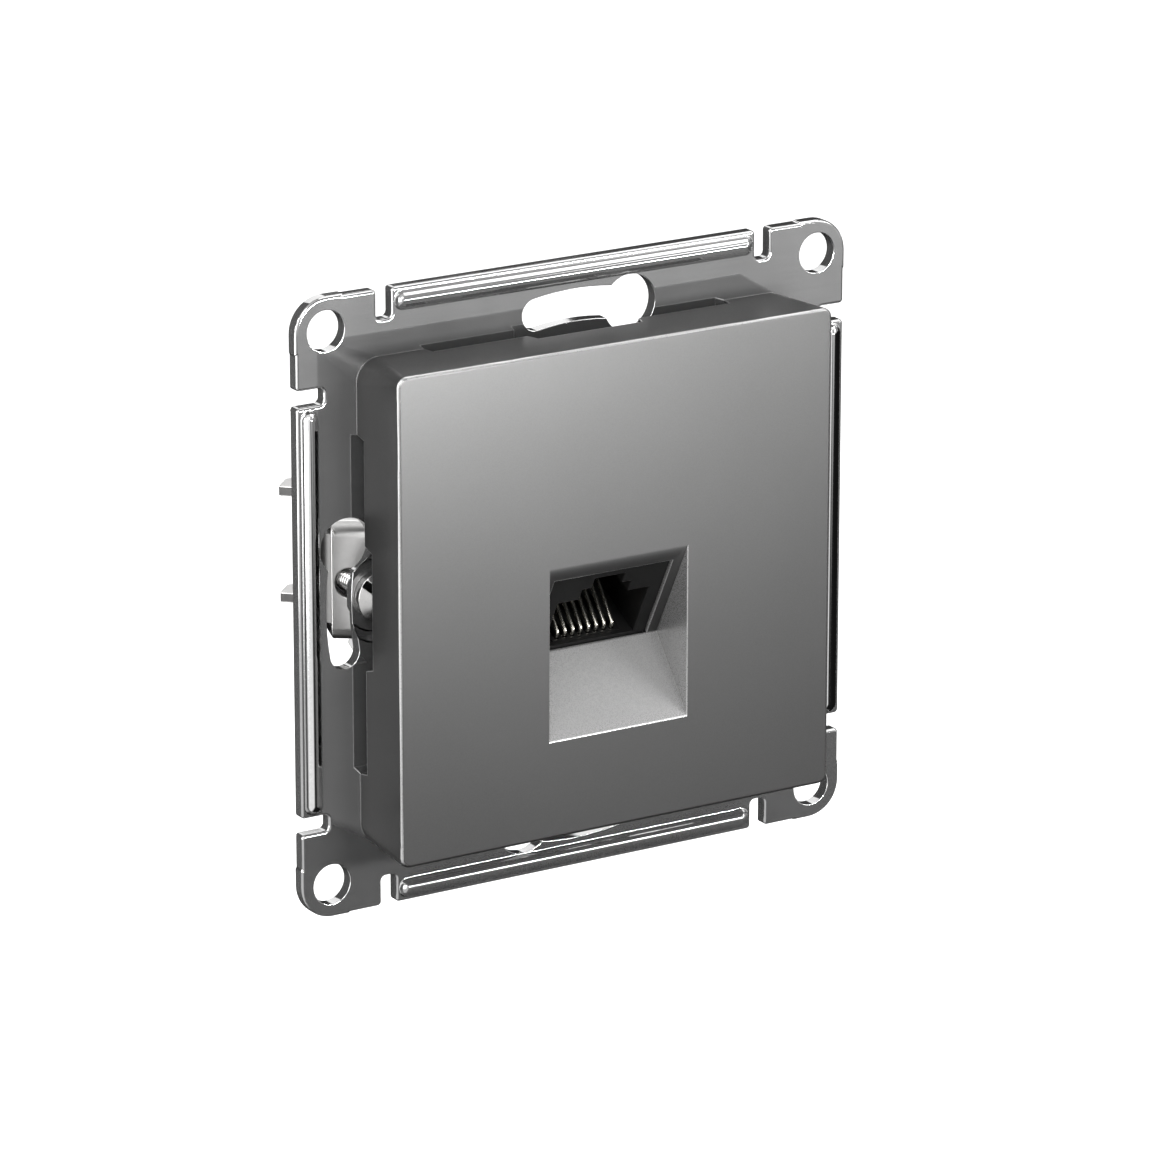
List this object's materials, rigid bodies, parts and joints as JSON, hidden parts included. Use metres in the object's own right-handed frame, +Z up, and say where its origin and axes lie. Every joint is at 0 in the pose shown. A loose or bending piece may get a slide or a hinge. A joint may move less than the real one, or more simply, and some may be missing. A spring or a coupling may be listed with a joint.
{
  "type": "ethernet socket insert",
  "caption": "Flush data socket insert: steel support plate with expanding claws, square cover with a slanted recess, a modular jack inside it and punch-down terminals behind.",
  "frame": {"origin": "centre of the support plate's back face, which lies on the wall box", "axes": "+X right and +Z up as seen from the front, -Y out of the wall towards the user"},
  "size_m": [0.071, 0.0338, 0.071],
  "materials": {
    "zinc_steel": "zinc plated, satin",
    "cover_silver": "aluminium-coloured lacquer with fine metal flake",
    "carrier_grey": "moulded, matt",
    "jack_black": "moulded, semi-matt",
    "board_green": "solder mask",
    "block_grey": "moulded, matt",
    "cap_white": "moulded, matt",
    "claw_steel": "zinc plated",
    "screw_steel": "zinc plated",
    "gold_contact": "gold plated",
    "tinned_contact": "tinned bronze"
  },
  "bodies": {
    "frame": {"support_plate": "zinc_steel", "front_cover": "cover_silver", "carrier": "carrier_grey", "jack_housing": "jack_black", "contact_insert": "jack_black", "circuit_board": "board_green", "contact_wire_1": "gold_contact", "contact_wire_2": "gold_contact", "contact_wire_3": "gold_contact", "contact_wire_4": "gold_contact", "contact_wire_5": "gold_contact", "contact_wire_6": "gold_contact", "contact_wire_7": "gold_contact", "contact_wire_8": "gold_contact", "idc_block_left": "block_grey", "idc_cap_left": "cap_white", "idc_contact_left_1": "tinned_contact", "idc_contact_left_2": "tinned_contact", "idc_contact_left_3": "tinned_contact", "idc_contact_left_4": "tinned_contact", "idc_block_right": "block_grey", "idc_cap_right": "cap_white", "idc_contact_right_1": "tinned_contact", "idc_contact_right_2": "tinned_contact", "idc_contact_right_3": "tinned_contact", "idc_contact_right_4": "tinned_contact"},
    "claw_left": {"claw_left": "claw_steel"},
    "claw_screw_left": {"claw_screw_left": "screw_steel"},
    "claw_nut_left": {"claw_nut_left": "screw_steel"},
    "claw_right": {"claw_right": "claw_steel"},
    "claw_screw_right": {"claw_screw_right": "screw_steel"},
    "claw_nut_right": {"claw_nut_right": "screw_steel"}
  },
  "joints": [
    {"name": "left_nut_travel", "type": "slide", "parent": "frame", "child": "claw_nut_left", "axis": [0, -1, 0], "range_m": [0, 0.0032]},
    {"name": "left_screw_turn", "type": "hinge", "parent": "frame", "child": "claw_screw_left", "pos_m": [-0.02515, 0, 0.00065], "axis": [0, 1, 0], "range_deg": [0, 2560]},
    {"name": "left_claw_swing", "type": "hinge", "parent": "frame", "child": "claw_left", "pos_m": [-0.02005, 0.0012, 0.00065], "axis": [0, 0, 1], "range_deg": [0, 25]},
    {"name": "right_nut_travel", "type": "slide", "parent": "frame", "child": "claw_nut_right", "axis": [0, -1, 0], "range_m": [0, 0.0032]},
    {"name": "right_screw_turn", "type": "hinge", "parent": "frame", "child": "claw_screw_right", "pos_m": [0.02515, 0, 0.00065], "axis": [0, 1, 0], "range_deg": [0, 2560]},
    {"name": "right_claw_swing", "type": "hinge", "parent": "frame", "child": "claw_right", "pos_m": [0.02005, 0.0012, 0.00065], "axis": [0, 0, -1], "range_deg": [0, 25]}
  ],
  "couplings": [
    {"joint": "left_screw_turn", "follows": "left_nut_travel", "rad_per_m": 13962},
    {"joint": "left_claw_swing", "follows": "left_nut_travel", "rad_per_m": 136.35},
    {"joint": "right_screw_turn", "follows": "right_nut_travel", "rad_per_m": 13962},
    {"joint": "right_claw_swing", "follows": "right_nut_travel", "rad_per_m": 136.35}
  ]
}
